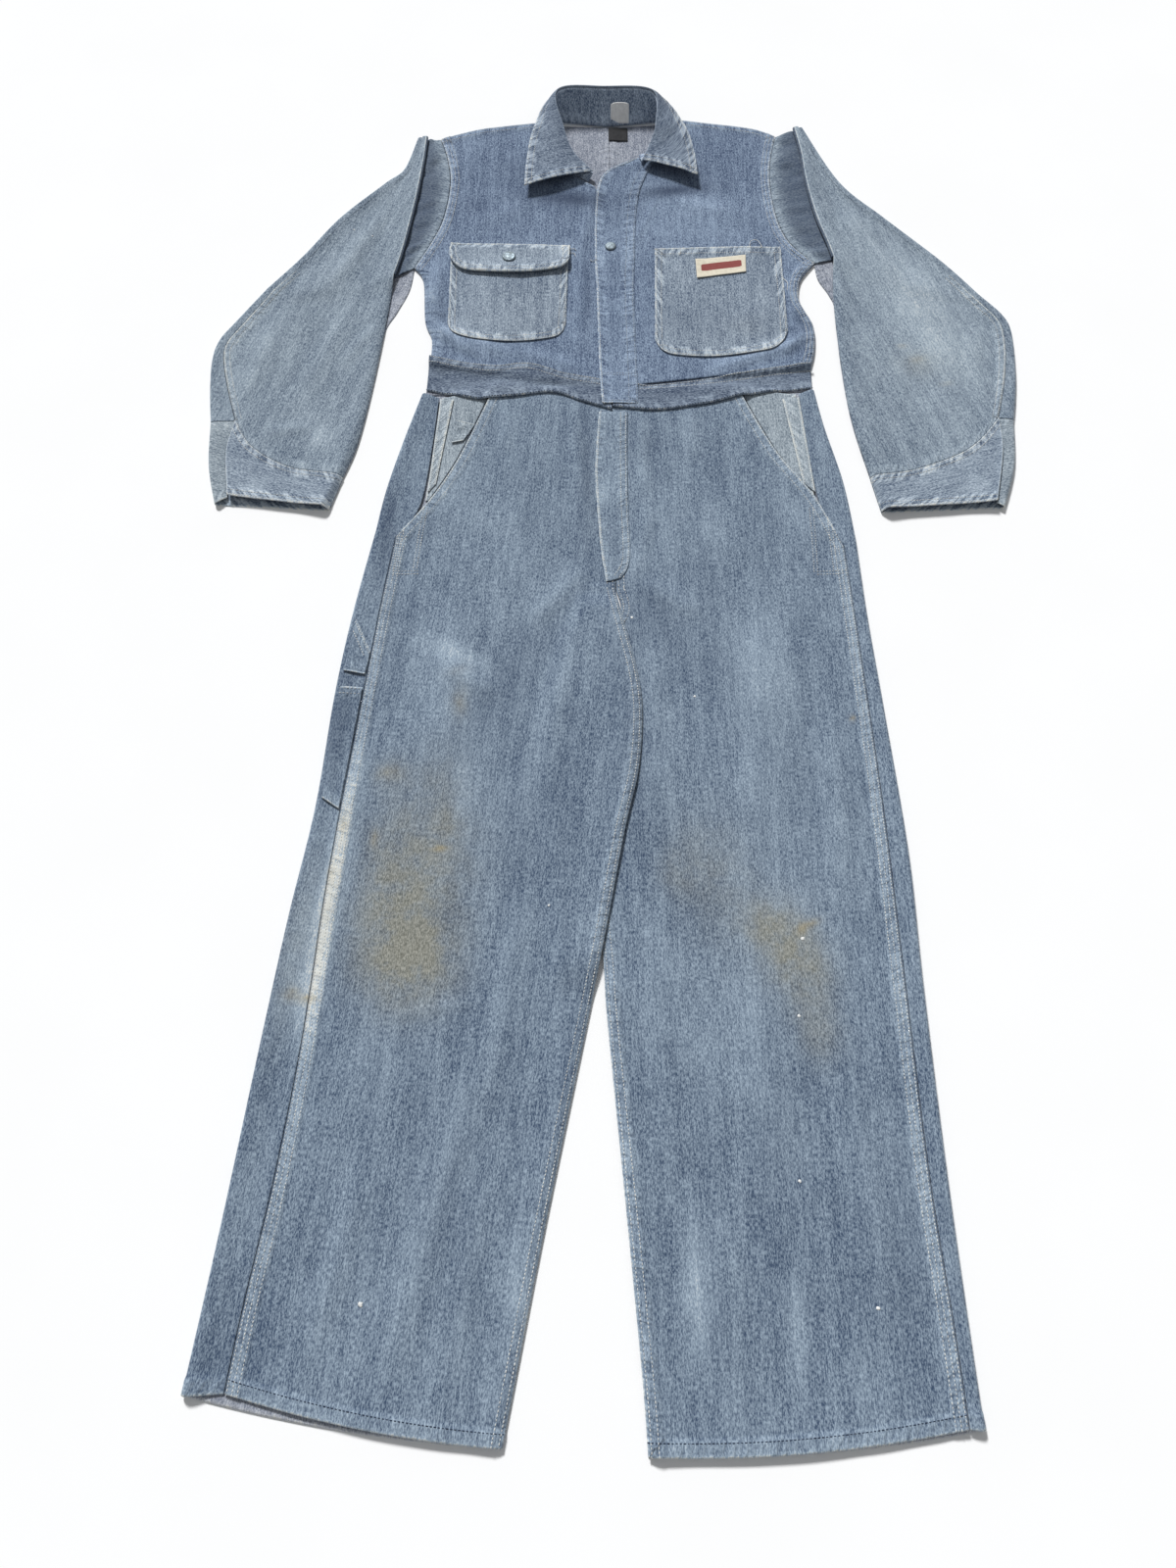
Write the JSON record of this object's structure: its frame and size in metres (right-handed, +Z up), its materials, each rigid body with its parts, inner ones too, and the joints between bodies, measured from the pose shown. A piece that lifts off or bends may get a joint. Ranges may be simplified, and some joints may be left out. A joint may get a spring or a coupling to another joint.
{
  "type": "denim coverall laid flat",
  "caption": "Long-sleeved denim coverall laid flat on its back, closed in front, with a standing collar, two chest pockets, open slanted side pockets and plain straight legs.",
  "frame": {"origin": "middle of the laid garment's outline, on the surface it lies on", "axes": "+X to the wearer's left, +Y from the hems to the collar, +Z up from the surface"},
  "size_m": [0.984, 1.6474, 0.0387],
  "materials": {
    "denim": "worn, faded blue denim, stained",
    "pale_denim": "more faded denim of pockets and edges",
    "dark_denim": "less faded denim of the waistband and collar stand",
    "cream_label": "woven label, cream with a plain red band, no lettering",
    "white_label": "blank woven label",
    "black_label": "blank woven label",
    "button_metal": "dull, worn metal"
  },
  "bodies": {
    "root": {"bodice_back_right": "denim", "bodice_back_left": "denim", "bodice_front_right": "denim", "bodice_front_left": "denim", "leg_back_right": "denim", "leg_back_left": "denim", "leg_front_right": "denim", "leg_front_left": "denim", "pocket_facing_right": "pale_denim", "pocket_facing_left": "pale_denim", "side_opening_strip_right": "pale_denim", "side_opening_strip_left": "pale_denim", "watch_pocket": "pale_denim", "tool_pocket_lower": "denim", "tool_pocket_upper": "denim", "waistband_back": "dark_denim", "waistband_front_right": "dark_denim", "waistband_front_left": "dark_denim", "front_placket": "pale_denim", "fly": "denim", "flap_pocket": "pale_denim", "flap_pocket_flap": "pale_denim", "open_pocket": "pale_denim", "pocket_label": "cream_label", "sleeve_under_right": "denim", "sleeve_under_left": "denim", "sleeve_upper_right": "denim", "sleeve_upper_left": "denim", "cuff_under_right": "pale_denim", "cuff_under_left": "pale_denim", "cuff_upper_right": "pale_denim", "cuff_upper_left": "pale_denim", "collar_stand": "dark_denim", "collar_fall": "pale_denim", "neck_label_upper": "white_label", "neck_label_lower": "black_label", "flap_button": "button_metal", "placket_snap": "button_metal"}
  },
  "joints": []
}
